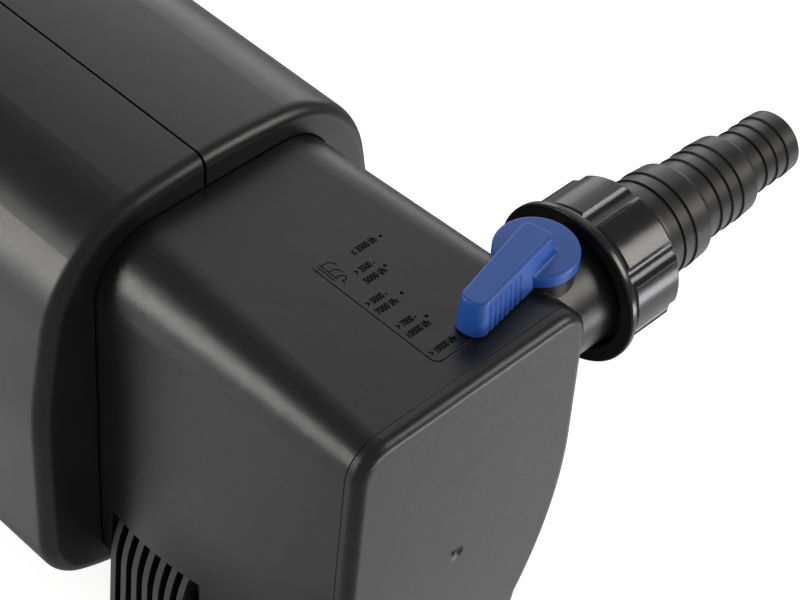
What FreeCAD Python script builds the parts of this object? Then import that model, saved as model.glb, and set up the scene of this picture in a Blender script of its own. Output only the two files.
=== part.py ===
"""Flow-through pond filter canister with a flow regulator, in millimetres.

+X runs from the hood to the end cap, +Y out along both hose tails, +Z up.
The origin is the middle of the front foot's underside, on the centre plane.
"""
import FreeCAD
import Part

import math
import os

Vector = FreeCAD.Vector
ALONG_X = Vector(1, 0, 0)
ALONG_Y = Vector(0, 1, 0)
ALONG_Z = Vector(0, 0, 1)

# --- vessel: the water housing ---
BODY_TOP_Z = 175.0
# Top corner at the hood and at the cap: its radius and the half width where it ends
CORNER_HOOD = (24.0, 53.3)
CORNER_CAP = (12.5, 52.2)
WALL = 4.5
CAP_JOINT_X = 87.4
VESSEL_BACK_X = -258.0
HOOD_FACE_X = -29.6
# Stations of the tapering front end: x, waist (half width, z), lower side
# (half width, z, sagitta), half width of the flat bottom, its z, corner sagitta.
STATION_HOOD = (HOOD_FACE_X, 53.8, 105.0, 54.3, 33.0, 0.2, 34.3, 13.0, 5.8)
STATION_FOOT = (28.4, 53.8, 102.0, 54.0, 44.0, 0.2, 31.0, 12.4, 7.6)
STATION_PORT = (56.4, 53.6, 98.0, 45.5, 42.0, 2.6, 19.0, 10.6, 6.2)
STATION_CAP = (CAP_JOINT_X, 53.4, 114.0, 36.0, 40.0, 4.9, 12.0, 9.0, 5.4)

# --- end cap ---
CAP_GAP = 0.3
CAP_FACE_X = 93.7
CAP_EDGE_R = 4.0
CAP_SKIRT = 10.0
CAP_SKIRT_WALL = 3.0
GATE_Y = -2.0
GATE_Z = 92.0
GATE_R = 3.6
GATE_DEPTH = 0.9
GATE_NIB = (1.6, 0.7)         # radius at the foot and at the tip of the nib
GATE_NIB_SINK = 0.3           # the nib ends this far below the cap's face
SEAL_BAND = (0.4, 3.9)        # the seal's outer and inner edge, in from the cap's outline

# --- ports, union nuts and hose tails ---
PORT_Z = 152.0
INLET_X = 67.4
INLET_NUT_Y = 71.2
OUTLET_X = -225.0
OUTLET_NUT_Y = 82.0
PIPE_R = 22.4
PIPE_BORE_R = 19.2
PIPE_INSIDE_Y = 30.0
PORT_RELIEF = 0.3
THREAD_R = 23.7
THREAD_PITCH = 2.3
THREAD_DEPTH = 1.2
THREAD_RUN_IN = 3.0           # plain pipe inside the nut's mouth before the thread
PIPE_IN_NUT = 14.0
WASHER_T = 2.5
FLANGE_T = 4.0
WASHER_R = (23.0, 16.4)
FLANGE_R = 23.6
FLANGE_NECK_R = 19.6
NUT_LENGTH = 28.0
NUT_COLLAR_R = 30.3
NUT_PAD_R = 27.9
NUT_PAD_START = 4.6
# Outside of the nut from its mouth on: (distance along, radius)
NUT_PROFILE = (
    (0.0, NUT_COLLAR_R - 0.5),
    (0.5, NUT_COLLAR_R),
    (2.2, NUT_COLLAR_R),
    (2.6, NUT_COLLAR_R - 0.4),
    (2.8, 29.0),
    (4.2, 28.6),
    (NUT_PAD_START, 27.2),
    (5.4, 27.2),
    (6.2, NUT_PAD_R),
    (NUT_LENGTH - 1.4, NUT_PAD_R),
    (NUT_LENGTH, NUT_PAD_R - 1.2),
)
NUT_BORE_R = 24.3
NUT_MOUTH_CHAMFER = 0.8
NUT_EYE_R = 20.0
NUT_PLAY = 0.3
NUT_PADS = 7
NUT_FLUTE_ANGLE = 34.2     # degrees from +X towards +Z
NUT_FLUTE_R = 5.0
NUT_FLUTE_DEPTH = 2.0
TAIL_RADII = (19.25, 16.0, 12.6)
TAIL_TIERS = (34.65, 58.15, 87.5)   # where each hose size's first step stands
TAIL_STEPS = (3, 4, 4)
TAIL_PITCH = 6.03
TAIL_CREST = 0.35
TAIL_BARB = 0.55              # fall of each step from its crest
TAIL_NICK = 0.5               # groove at the foot of each step
TAIL_SHOULDER = 3.6
TAIL_END = 113.4
TAIL_TIP = ((TAIL_END - 1.2, 12.2), (TAIL_END, 11.1))
# Bore of the tail from its tip back to the nut: (distance along, radius)
TAIL_BORE = (
    (TAIL_END, 10.0),
    (90.4, 10.0),
    (85.4, 13.2),
    (59.4, 13.2),
    (54.4, 16.4),
    (PIPE_IN_NUT + WASHER_T, 16.4),
)

# --- regulator ---
PIVOT_Y = 52.8
BOSS_R = 14.0
BOSS_FOOT_Z = 160.0
BOSS_TOP_Z = 176.5
STEM_R = 5.0
STEM_PLAY = 0.05
STEM_SHOULDER_Z = 170.5       # below it the stem is the slim shaft
STEM_TOP_Z = 182.3
SHAFT_R = 3.0
SHAFT_FOOT_Z = PORT_Z - PIPE_R + 1.2
PIVOT_HOLE_DEPTH = 4.0
DRIVE_R = 4.1
DRIVE_FLAT = 1.7              # the drive's flat, off the stem's axis
DRIVE_PLAY = 0.1
SEAL_GROOVE_Z = 172.4
SEAL_GROOVE_H = 2.2
SEAL_GROOVE_R = 3.35
STEM_RING = (4.2, 0.78, SEAL_GROOVE_Z + SEAL_GROOVE_H / 2)   # its radii and height
HUB_R = 14.7
HUB_BOTTOM_Z = 176.72
HUB_TOP_Z = 181.3
ARM_TOP_Z = 189.5
ARM_BOTTOM_Z = 176.0
ARM_ANGLE = 12.0           # degrees from -Y towards +X
# Arm outline at its foot and crest: back and end reach, half width at back and
# end, corner radius
ARM_FOOT = (-4.0, 43.2, 7.8, 5.8, 4.6)
ARM_CREST = (-1.0, 42.1, 5.9, 4.9, 3.8)
ARM_CORNER_R = 3.2
ARM_CREST_R = 1.1
ARM_TIP_CROWN = 0.1
ARM_FLARE_R = 1.5
HUB_EDGE_R = 1.0
SOCKET_DEPTH = 7.0
GRIP_COUNT = 7
GRIP_PITCH = 2.9
GRIP_START = 20.5
GRIP_R = 0.8
GRIP_HEIGHT = 11.5
GRIP_OUT = 0.35             # how far the grooves' axes stand out from the arm's side
FLAP_R = 18.5
FLAP_T = 3.0
FLAP_HUB_R = 5.2
FLAP_HUB_H = 34.0

# Scale beside the lever: engraved edge line and setting marks
SCALE_DEPTH = 0.35
SCALE_LINE_W = 0.55
SCALE_LINE_X = (22.3, 79.1)
SCALE_LINE_Y = -4.85
SCALE_BEND_R = 3.0
SCALE_LEG_END_Y = 11.0
SCALE_DOT_R = 0.7
SCALE_DOT_REACH = (45.8, 45.4, 47.3, 49.5, 51.4)
SCALE_FIRST_ANGLE = 8.9       # degrees from -Y towards +X, at the largest setting
SCALE_STEP_ANGLE = 15.7

# --- hood ---
HOOD_BACK_X = -380.0
HOOD_WALL = 3.0
HOOD_FACE_EDGE_R = 5.2
HOOD_BACK_EDGE_R = 6.0
# Half outline from the crown down: (y, z) and the heading there in degrees
HOOD_OUTLINE = (
    ((0.0, 188.0), 0.0),
    ((34.0, 185.9), -7.5),
    ((73.5, 146.0), -79.5),
    ((79.5, 98.0), -90.0),
    ((79.5, 43.0), -90.0),
    ((64.0, 17.2), -154.5),
    ((30.0, 8.6), -180.0),
)
SEAM_Y = -5.2
SEAM_GAP = 1.0
OPENING_GAP = 0.6

# --- feet ---
FOOT_BACK_X = -21.6
FOOT_FRONT_X = 21.6
FOOT_RECESS_W = 51.8
# Recess behind the ribs: (half width, back x, front x, top z), from its floor outwards
RECESS_STATIONS = (
    (FOOT_RECESS_W, FOOT_BACK_X - 0.3, FOOT_FRONT_X + 0.3, 51.2),
    (54.0, FOOT_BACK_X - 0.5, FOOT_FRONT_X + 2.6, 53.8),
    (80.0, FOOT_BACK_X - 0.5, FOOT_FRONT_X + 2.6, 53.8),
)
RIB_COUNT = 7
RIB_PITCH = 5.8
RIB_T = 2.8
REAR_FOOT_X = -222.0
REAR_FOOT_LENGTH = 46.0
REAR_FOOT_W = 42.0
REAR_FOOT_TOP_Z = 12.0
REAR_FOOT_CORNER_R = 6.0
FRONT_FOOT_W = 54.0
FRONT_FOOT_TOP_Z = 26.0
FRONT_SCREWS = (14.0, 22.0)   # screw places off the foot's middle, along x and y
REAR_SCREWS = (16.0, 26.0)
FRONT_HEAD_Z = 4.0            # depth of the screw heads' sockets in each foot
REAR_HEAD_Z = 3.0
FRONT_SCREW_LENGTH = 17.0
REAR_SCREW_LENGTH = 18.0
FOOT_SCREW_R = 2.2
FOOT_SCREW_PLAY = 0.6
SCREW_SOCKET_R = 4.8
# Side view of one rib from the wall out and down: (half width, z); the middle
# three points lie on one arc
RIB_PROFILE = (
    (53.8, 53.3),
    (54.1, 53.3),
    (57.0, 46.6),
    (59.4, 35.2),
    (60.6, 9.0),
    (60.8, 0.0),
    (FOOT_RECESS_W + 0.3, 0.0),
    (FOOT_RECESS_W + 0.3, 50.9),
)
RIB_WEB = (50.0, 60.0, 5.0)   # low bar that joins the ribs: inside, outside, height

# --- lamp, filter cartridge and closure ---
AXIS_Z = 94.0              # height of the lamp and cartridge axis
SLEEVE_R = 14.0
SLEEVE_WALL = 1.6
SLEEVE_END_X = 15.0
SLEEVE_BACK_X = -283.0
SLEEVE_PLAY = 0.3
LAMP_TUBE_R = 5.4
LAMP_TUBE_OFFSET = 6.2
LAMP_BRIDGE_R = 2.6
LAMP_BRIDGE_BACK = 8.0
LAMP_END_X = -38.0
LAMP_BASE_GAP = 1.0
LAMP_BASE_R = 13.0
LAMP_BASE_LENGTH = 22.0
LAMP_BASE_X = SLEEVE_BACK_X - LAMP_BASE_GAP - LAMP_BASE_LENGTH
PIN_ZS = (-7.5, -2.5, 2.5, 7.5)
PIN_R = 1.0
PIN_LENGTH = 7.0
PIN_HOLE_R = 1.1
PIN_HOLE_DEPTH = 9.0
SOCKET_W = 10.0
SOCKET_H = 16.0
SOCKET_LENGTH = 15.8
SOCKET_SCREW_Z = 12.5
SOCKET_SCREW_R = 2.2
HEAD_T = 12.0
GASKET_T = 2.0
GASKET_INSET = 0.3
HEAD_BACK_X = VESSEL_BACK_X - GASKET_T - HEAD_T
NECK_R = 20.0
NECK_LENGTH = 8.0
NECK_SEAT_R = SLEEVE_R + 2.8  # counterbore that takes the sleeve's O-ring
NECK_SEAT_DEPTH = 4.0
SLEEVE_RING = (SLEEVE_R + 1.35, 1.3, HEAD_BACK_X - NECK_LENGTH + 2.0)
SLEEVE_NUT_R = 23.5
SLEEVE_NUT_BORE_R = 20.3
SLEEVE_NUT_SKIRT = 11.0
SLEEVE_NUT_WEB = 3.0
SLEEVE_NUT_GRIPS = 12
SLEEVE_NUT_GRIP_R = 2.6
SLEEVE_NUT_GRIP_AT = 25.0
LUG_R = 6.0
LUG_Y = 57.5
LUG_ZS = (45.0, 92.0, 136.0)
HEAD_SCREW_R = 2.0
HEAD_SCREW_DEPTH = 9.0
HEAD_SCREW_PLAY = 0.2
FLANGE_INSIDE_Y = 51.0
FLANGE_LENGTH = 14.0
PAD_MARGIN = 6.5              # floor patch beyond the foot screws
PAD_BOTTOM_Z = 13.5
PAD_TOP_Z = 25.5
CORE_R = 24.0
CORE_WALL = 2.0
CORE_BACK = 8.0               # the core and the bypass tube reach this far past the baffle
CORE_SLOT_ROWS = 6
CORE_SLOTS = 7
CORE_SLOT_LENGTH = 18.0
CORE_SLOT_W = 5.0
CORE_SLOT_START = 14.0
CORE_SLOT_MARGIN = 20.0
FOAM_R = 42.0
FOAM_GROOVES = 8
FOAM_GROOVE_W = 6.0
FOAM_GROOVE_DEPTH = 4.0
BAFFLE_X = -192.0
BAFFLE_T = 4.0
CARTRIDGE_END_X = 36.0
CARTRIDGE_PLATE = 4.0         # thickness of the cartridge's collar and cap
PULL_BAR = (18.0, 14.0, 2.0)  # half width, reach and half height of the cap's bar
PULL_WINDOW = (12.0, 9.0)     # half width and reach of the finger hole in it
BYPASS_R = 10.0
BYPASS_WALL = 1.8
BYPASS_Z = 152.0
BYPASS_BELL_X = 34.0
BYPASS_BELL_LENGTH = 8.0
BYPASS_BELL_FLARE = 4.0

# --- ballast and its bracket, inside the hood ---
BRACKET_W = 34.0
BRACKET_BOTTOM_Z = 18.0
BRACKET_TOP_Z = 66.0
BRACKET_T = 2.5
BRACKET_LENGTH = 96.0
BALLAST_W = 30.0
BALLAST_ZS = (20.7, 58.0)
BALLAST_XS = (HEAD_BACK_X - 92.0, HEAD_BACK_X - 6.0)
BALLAST_CORNER_R = 4.0
BALLAST_SLOTS = 9
BALLAST_SLOT_PITCH = 9.0
BALLAST_SLOT = (4.0, 24.0, 1.6)   # width, half length and depth
POST_X = SLEEVE_BACK_X - 38.0
POST_LENGTH = 14.0
POST_W = 8.0

# --- cable gland in the hood's end wall ---
GLAND_Y = 30.0
GLAND_Z = 60.0
CABLE_BORE_R = 4.2
GLAND_WIDE_BORE_R = 5.2
GLAND_STEP_X = HOOD_BACK_X - 1.5   # the cable bore widens here, just outside the hood
GLAND_R = 8.0
GLAND_NECK_R = 8.6
GLAND_NECK_LENGTH = 9.0
GLAND_HEX = 11.5              # half the width across the hexagon's flats
GLAND_HEX_T = 5.0
GLAND_LENGTH = 16.0
LOCKNUT_T = 4.0
CAP_NUT_R = 11.0
CAP_NUT_BORE_R = 8.7
CAP_NUT_LENGTH = 8.5
CAP_NUT_MOUTH = (7.2, 5.0)    # radius and length of its tapered end
CAP_NUT_EYE_R = 5.0
CAP_NUT_GRIPS = 12
CAP_NUT_GRIP = (12.1, 1.6)    # pitch radius and radius of its grip flutes


def cylinder(radius, length, base, axis=ALONG_Z):
    return Part.makeCylinder(radius, length, Vector(*base), axis)


def box(low, high):
    size = [high[i] - low[i] for i in range(3)]
    return Part.makeBox(size[0], size[1], size[2], Vector(*low))


def ring(outer_r, inner_r, length, base, axis=ALONG_Z):
    return cylinder(outer_r, length, base, axis).cut(cylinder(inner_r, length, base, axis))


def arc_by_sagitta(start, end, sagitta):
    """Arc from start down to end on the +Y half that bulges outwards by sagitta."""
    chord = end - start
    normal = ALONG_X.cross(chord)
    normal.normalize()
    middle = (start + end) * 0.5 + normal * sagitta
    return Part.Arc(start, middle, end).toShape()


def closed_section(half_edges):
    """Wire from the edges of the +Y half, in order, with their mirror images."""
    mirrored = [edge.mirror(Vector(0, 0, 0), ALONG_Y) for edge in half_edges]
    top_w = half_edges[0].firstVertex().Point
    bottom_w = half_edges[-1].lastVertex().Point
    top = Part.makeLine(Vector(top_w.x, -top_w.y, top_w.z), top_w)
    bottom = Part.makeLine(bottom_w, Vector(bottom_w.x, -bottom_w.y, bottom_w.z))
    return Part.Wire(Part.__sortEdges__([top] + half_edges + [bottom] + mirrored))


def top_corner(x):
    """Radius and end half width of the vessel's top corner at x."""
    share = (x - HOOD_FACE_X) / (CAP_JOINT_X - HOOD_FACE_X)
    return [hood + (cap - hood) * share for hood, cap in zip(CORNER_HOOD, CORNER_CAP)]


def body_section(station, inset=0.0, x=None):
    """Closed outline of the vessel at one station, pulled in by inset."""
    own_x, waist_w, waist_z, low_w, low_z, low_sag, flat_w, bottom_z, corner_sag = station
    at_x = own_x if x is None else x
    corner_r, shoulder_w = top_corner(own_x)
    radius = corner_r - inset
    centre = Vector(at_x, shoulder_w - corner_r, BODY_TOP_Z - corner_r)
    waist = Vector(at_x, waist_w - inset, waist_z)
    to_waist = waist - centre
    end_angle = math.atan2(to_waist.z, to_waist.y) + math.acos(radius / to_waist.Length)
    middle_angle = (math.pi / 2 + end_angle) / 2
    top_point, corner_mid, shoulder = [
        centre + Vector(0, radius * math.cos(angle), radius * math.sin(angle))
        for angle in (math.pi / 2, middle_angle, end_angle)]
    low = Vector(at_x, low_w - inset, low_z)
    flat = Vector(at_x, flat_w, bottom_z + inset)
    return closed_section([
        Part.Arc(top_point, corner_mid, shoulder).toShape(),
        Part.makeLine(shoulder, waist),
        arc_by_sagitta(waist, low, low_sag),
        arc_by_sagitta(low, flat, corner_sag),
    ])


def body_prism(station, inset, x_from, x_to):
    face = Part.Face(body_section(station, inset, x_from))
    return face.extrude(Vector(x_to - x_from, 0, 0))


def body_front(inset):
    stations = (STATION_HOOD, STATION_FOOT, STATION_PORT, STATION_CAP)
    wires = [body_section(station, inset) for station in stations]
    return Part.makeLoft(wires, True, False)


def heading_vector(heading):
    """Unit vector in the YZ plane, heading in degrees from +Y towards +Z."""
    angle = math.radians(heading)
    return Vector(0, math.cos(angle), math.sin(angle))


def tangent_arc(start, corner, end):
    """Arc from start to end whose end tangents meet at corner."""
    middle = (start + end) * 0.5
    half_turn = math.acos((end - start).Length / (2.0 * (corner - start).Length))
    bulge = math.tan(half_turn / 2.0) / math.tan(half_turn)
    return Part.Arc(start, middle + (corner - middle) * bulge, end).toShape()


def arc_pair(start, start_heading, end, end_heading):
    """Two arcs that meet smoothly and join two points with the given headings."""
    leave, arrive = heading_vector(start_heading), heading_vector(end_heading)
    chord = end - start
    along = chord.dot(leave + arrive)
    spread = 2.0 * (1.0 - leave.dot(arrive))
    reach = (math.sqrt(along ** 2 + spread * chord.dot(chord)) - along) / spread
    first_corner, second_corner = start + leave * reach, end - arrive * reach
    joint = (first_corner + second_corner) * 0.5
    return [tangent_arc(start, first_corner, joint), tangent_arc(joint, second_corner, end)]


def hood_section(x, inset):
    """Closed outline of the hood: crowned top, full sides, sloping underside."""
    places = []
    for (y, z), heading in HOOD_OUTLINE:
        inwards = heading_vector(heading - 90.0)
        places.append((Vector(x, y, z) + inwards * inset, heading))
    half = []
    for (start, start_heading), (end, end_heading) in zip(places, places[1:]):
        if start_heading == end_heading:
            half.append(Part.makeLine(start, end))
        else:
            half += arc_pair(start, start_heading, end, end_heading)
    mirrored = [edge.mirror(Vector(0, 0, 0), ALONG_Y) for edge in half]
    last = places[-1][0]
    base = Part.makeLine(last, Vector(x, -last.y, last.z))
    return Part.Wire(Part.__sortEdges__(half + [base] + mirrored))


def hood_block(inset, x_from, x_to):
    return Part.Face(hood_section(x_from, inset)).extrude(Vector(x_to - x_from, 0, 0))


def union_port(x, nut_y):
    """Solid and bore of a port: pipe through the wall, coarse thread inside the nut."""
    pipe_end = nut_y + PIPE_IN_NUT
    pipe = cylinder(PIPE_R, pipe_end - PIPE_INSIDE_Y, (x, PIPE_INSIDE_Y, PORT_Z), ALONG_Y)
    thread_y = nut_y + THREAD_RUN_IN
    thread = cylinder(THREAD_R, pipe_end - thread_y, (x, thread_y, PORT_Z), ALONG_Y)
    groove_y = thread_y + 1.0
    while groove_y < pipe_end - THREAD_PITCH:
        groove = ring(THREAD_R + 1.0, THREAD_R - THREAD_DEPTH, THREAD_PITCH * 0.5,
                      (x, groove_y, PORT_Z), ALONG_Y)
        thread = thread.cut(groove)
        groove_y += THREAD_PITCH
    bore = cylinder(PIPE_BORE_R, pipe_end - PIPE_INSIDE_Y + 2.0,
                    (x, PIPE_INSIDE_Y - 1.0, PORT_Z), ALONG_Y)
    return pipe.fuse(thread), bore


def rib_recess(side):
    """Room for the foot's ribs in one side wall, with sloping edges at its top and front."""
    outlines = []
    for half_w, back_x, front_x, top_z in RECESS_STATIONS:
        y = side * half_w
        corners = [Vector(back_x, y, 0), Vector(front_x, y, 0), Vector(front_x, y, top_z),
                   Vector(back_x, y, top_z)]
        outlines.append(Part.makePolygon(corners + corners[:1]))
    return Part.makeLoft(outlines, True, True)


def side_flange(side, x, length):
    """Upright round-ended bar on one side, through which the lamp head is screwed on."""
    low_z, high_z = LUG_ZS[0], LUG_ZS[-1]
    near, far = sorted((side * FLANGE_INSIDE_Y, side * (LUG_Y + LUG_R)))
    flange = box((x, near, low_z), (x + length, far, high_z))
    for end_z in (low_z, high_z):
        flange = flange.fuse(cylinder(LUG_R, length, (x, side * LUG_Y, end_z), ALONG_X))
    return flange


def screw_pad(places):
    """Thick patch of the vessel's floor that takes the screws of one foot."""
    xs = [x for x, y in places]
    ys = [y for x, y in places]
    return box((min(xs) - PAD_MARGIN, min(ys) - PAD_MARGIN, PAD_BOTTOM_Z),
               (max(xs) + PAD_MARGIN, max(ys) + PAD_MARGIN, PAD_TOP_Z))


def scale_marks():
    """Engraved edge line of the lever's scale, and a dimple at each of its settings."""
    floor_z = BODY_TOP_Z - SCALE_DEPTH
    half = SCALE_LINE_W / 2
    bend_x = SCALE_LINE_X[1] - SCALE_BEND_R
    bend_y = SCALE_LINE_Y + SCALE_BEND_R
    along = box((SCALE_LINE_X[0], SCALE_LINE_Y - half, floor_z),
                (bend_x, SCALE_LINE_Y + half, BODY_TOP_Z + 1.0))
    leg = box((SCALE_LINE_X[1] - half, bend_y, floor_z),
              (SCALE_LINE_X[1] + half, SCALE_LEG_END_Y, BODY_TOP_Z + 1.0))
    bend = ring(SCALE_BEND_R + half, SCALE_BEND_R - half, SCALE_DEPTH + 1.0,
                (bend_x, bend_y, floor_z))
    quarter = box((bend_x, bend_y - 2 * SCALE_BEND_R, floor_z - 1.0),
                  (bend_x + 2 * SCALE_BEND_R, bend_y, BODY_TOP_Z + 2.0))
    marks = [along, leg, bend.common(quarter)]
    for index, reach in enumerate(SCALE_DOT_REACH):
        angle = math.radians(SCALE_FIRST_ANGLE - index * SCALE_STEP_ANGLE)
        place = (INLET_X + reach * math.sin(angle), PIVOT_Y - reach * math.cos(angle), floor_z)
        marks.append(cylinder(SCALE_DOT_R, SCALE_DEPTH + 1.0, place))
    return Part.makeCompound(marks)


def make_vessel():
    outer = body_prism(STATION_HOOD, 0.0, VESSEL_BACK_X, HOOD_FACE_X).fuse(body_front(0.0))
    inner = body_prism(STATION_HOOD, WALL, VESSEL_BACK_X, HOOD_FACE_X).fuse(body_front(WALL))
    for side in (-1, 1):
        outer = outer.fuse(side_flange(side, VESSEL_BACK_X, FLANGE_LENGTH))
    inlet, inlet_bore = union_port(INLET_X, INLET_NUT_Y)
    outlet, outlet_bore = union_port(OUTLET_X, OUTLET_NUT_Y)
    boss = cylinder(BOSS_R, BOSS_TOP_Z - BOSS_FOOT_Z, (INLET_X, PIVOT_Y, BOSS_FOOT_Z))
    outer = outer.fuse(inlet).fuse(outlet).fuse(boss)
    ahead_of_joint = box((CAP_JOINT_X, -80.0, 0.0),
                         (CAP_JOINT_X + 10.0, CORNER_CAP[1] - PORT_RELIEF, 200.0))
    vessel = outer.cut(inner).cut(ahead_of_joint)
    for places in foot_screw_places():
        vessel = vessel.fuse(screw_pad(places))
    vessel = vessel.cut(inlet_bore).cut(outlet_bore)
    stem_hole = cylinder(STEM_R + STEM_PLAY, 30.0, (INLET_X, PIVOT_Y, BOSS_FOOT_Z))
    pivot_hole = cylinder(SHAFT_R + STEM_PLAY, PIVOT_HOLE_DEPTH,
                          (INLET_X, PIVOT_Y, SHAFT_FOOT_Z - 0.4))
    vessel = vessel.cut(stem_hole).cut(pivot_hole)
    for side in (-1, 1):
        vessel = vessel.cut(rib_recess(side))
        for lug_z in LUG_ZS:
            hole = cylinder(HEAD_SCREW_R, HEAD_SCREW_DEPTH + 3.0,
                            (VESSEL_BACK_X - 1.0, side * LUG_Y, lug_z), ALONG_X)
            vessel = vessel.cut(hole)
    for screw_x, screw_y in sum(foot_screw_places(), []):
        vessel = vessel.cut(cylinder(FOOT_SCREW_R, 10.0, (screw_x, screw_y, 12.0)))
    return vessel.cut(scale_marks())


def pipe_room(start_y):
    """Room round the inlet pipe, from start_y outwards."""
    return cylinder(PIPE_R + PORT_RELIEF, 60.0, (INLET_X, start_y, PORT_Z), ALONG_Y)


def make_end_cap():
    """Cap: rounded plate that closes the vessel's front, with a skirt inside it."""
    start_x = CAP_JOINT_X + CAP_GAP
    plate = body_prism(STATION_CAP, 0.0, start_x, CAP_FACE_X)
    rim = [edge for edge in plate.Edges
           if abs(edge.BoundBox.XMin - CAP_FACE_X) < 0.01 and edge.BoundBox.XLength < 0.01]
    plate = plate.makeFillet(CAP_EDGE_R, rim)
    skirt_outer = body_prism(STATION_CAP, WALL + 0.4, CAP_JOINT_X - CAP_SKIRT, start_x + 1.0)
    skirt_inner = body_prism(STATION_CAP, WALL + 0.4 + CAP_SKIRT_WALL,
                             CAP_JOINT_X - CAP_SKIRT - 1.0, start_x + 1.0)
    cap = plate.fuse(skirt_outer.cut(skirt_inner))
    dish_r = GATE_R ** 2 / (2 * GATE_DEPTH)
    gate_dish = Part.makeSphere(dish_r, Vector(CAP_FACE_X + dish_r - GATE_DEPTH, GATE_Y, GATE_Z))
    nib_foot = Vector(CAP_FACE_X - GATE_DEPTH - GATE_NIB_SINK, GATE_Y, GATE_Z)
    gate_nib = Part.makeCone(GATE_NIB[0], GATE_NIB[1], GATE_DEPTH, nib_foot, ALONG_X)
    cap = cap.cut(pipe_room(CORNER_CAP[1] - WALL - PORT_RELIEF))
    return cap.cut(gate_dish).fuse(gate_nib)


def make_end_cap_seal():
    outer = body_prism(STATION_CAP, SEAL_BAND[0], CAP_JOINT_X, CAP_JOINT_X + CAP_GAP)
    inner = body_prism(STATION_CAP, SEAL_BAND[1], CAP_JOINT_X, CAP_JOINT_X + CAP_GAP)
    return outer.cut(inner).cut(pipe_room(CORNER_CAP[1] - 2 * PORT_RELIEF))


def revolved(x, nut_y, edges):
    """Solid of revolution about a port's axis, from a closed outline of edges."""
    face = Part.Face(Part.Wire(Part.__sortEdges__(edges)))
    return face.revolve(Vector(x, nut_y, PORT_Z), ALONG_Y, 360)


def outline_edges(x, nut_y, path):
    """Closed outline from (along, radius) points: straight, or easing where a step says so."""
    places = [Vector(x + step[1], nut_y + step[0], PORT_Z) for step in path]
    edges = []
    for index, step in enumerate(path):
        start, end = places[index - 1], places[index]
        if len(step) == 3:
            half = Vector(0, (end.y - start.y) / 2, 0)
            curve = Part.BezierCurve()
            curve.setPoles([start, start + half, end - half, end])
            edges.append(curve.toShape())
        else:
            edges.append(Part.makeLine(start, end))
    return edges


def make_union_nut(x, nut_y):
    """Union nut with a thin stepped collar at its mouth and broad gripping pads."""
    shoulder = PIPE_IN_NUT + WASHER_T + FLANGE_T + NUT_PLAY
    bore = ((NUT_LENGTH, NUT_EYE_R), (shoulder, NUT_EYE_R), (shoulder, NUT_BORE_R),
            (NUT_MOUTH_CHAMFER, NUT_BORE_R), (0.0, NUT_BORE_R + NUT_MOUTH_CHAMFER))
    nut = revolved(x, nut_y, outline_edges(x, nut_y, NUT_PROFILE + bore))
    for pad in range(NUT_PADS):
        angle = math.radians(NUT_FLUTE_ANGLE + pad * 360.0 / NUT_PADS)
        reach = NUT_PAD_R + NUT_FLUTE_R - NUT_FLUTE_DEPTH
        centre = (x + reach * math.cos(angle), nut_y + NUT_PAD_START,
                  PORT_Z + reach * math.sin(angle))
        nut = nut.cut(cylinder(NUT_FLUTE_R, NUT_LENGTH, centre, ALONG_Y))
    return nut


def tail_profile():
    """Outline of the stepped tail's outside, from nut to tip, easing down between tiers."""
    points = []
    tier_ends = TAIL_TIERS[1:] + (TAIL_END,)
    for radius, start, count, end in zip(TAIL_RADII, TAIL_TIERS, TAIL_STEPS, tier_ends):
        for index in range(count):
            step = start + index * TAIL_PITCH
            top = (step + TAIL_CREST, radius)
            points.append(top + ("ease",) if index == 0 and start != TAIL_TIERS[0] else top)
            if index < count - 1:
                next_step = step + TAIL_PITCH
                points.append((next_step - TAIL_CREST, radius - TAIL_BARB))
                points.append((next_step, radius - TAIL_BARB - TAIL_NICK))
            else:
                points.append((end - TAIL_SHOULDER, radius - TAIL_BARB))
    return points


def make_hose_tail(x, nut_y):
    """Stepped hose tail for three hose sizes, with its sealing flange inside the nut."""
    flange_y = PIPE_IN_NUT + WASHER_T
    neck_y = flange_y + FLANGE_T
    flange = ((flange_y, FLANGE_R), (neck_y, FLANGE_R), (neck_y, FLANGE_NECK_R))
    steps = tuple(tail_profile()[:-1])
    return revolved(x, nut_y, outline_edges(x, nut_y, flange + steps + TAIL_TIP + TAIL_BORE))


def make_washer(x, nut_y):
    return ring(WASHER_R[0], WASHER_R[1], WASHER_T, (x, nut_y + PIPE_IN_NUT, PORT_Z), ALONG_Y)


def arm_outline(z, sizes):
    """Outline of the lever arm at height z, in the arm's own axes, -Y outwards."""
    start, end, start_w, end_w, end_round = sizes
    sink = end_round * (1.0 - math.sqrt(0.5))
    inner_w = end_w - end_round
    right = [Part.makeLine(Vector(start_w, -start, z), Vector(end_w, -(end - end_round), z)),
             Part.Arc(Vector(end_w, -(end - end_round), z), Vector(end_w - sink, -(end - sink), z),
                      Vector(inner_w, -end, z)).toShape()]
    left = [edge.mirror(Vector(0, 0, 0), ALONG_X) for edge in right]
    tip = Part.Arc(Vector(inner_w, -end, z), Vector(0, -end - ARM_TIP_CROWN, z),
                   Vector(-inner_w, -end, z)).toShape()
    back = Part.makeLine(Vector(-start_w, -start, z), Vector(start_w, -start, z))
    return Part.Wire(Part.__sortEdges__([back] + right + [tip] + left))


def arm_half_width(sizes, reach):
    start, end, start_w, end_w, end_round = sizes
    share = (reach - start) / (end - end_round - start)
    return start_w + (end_w - start_w) * min(share, 1.0)


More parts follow.
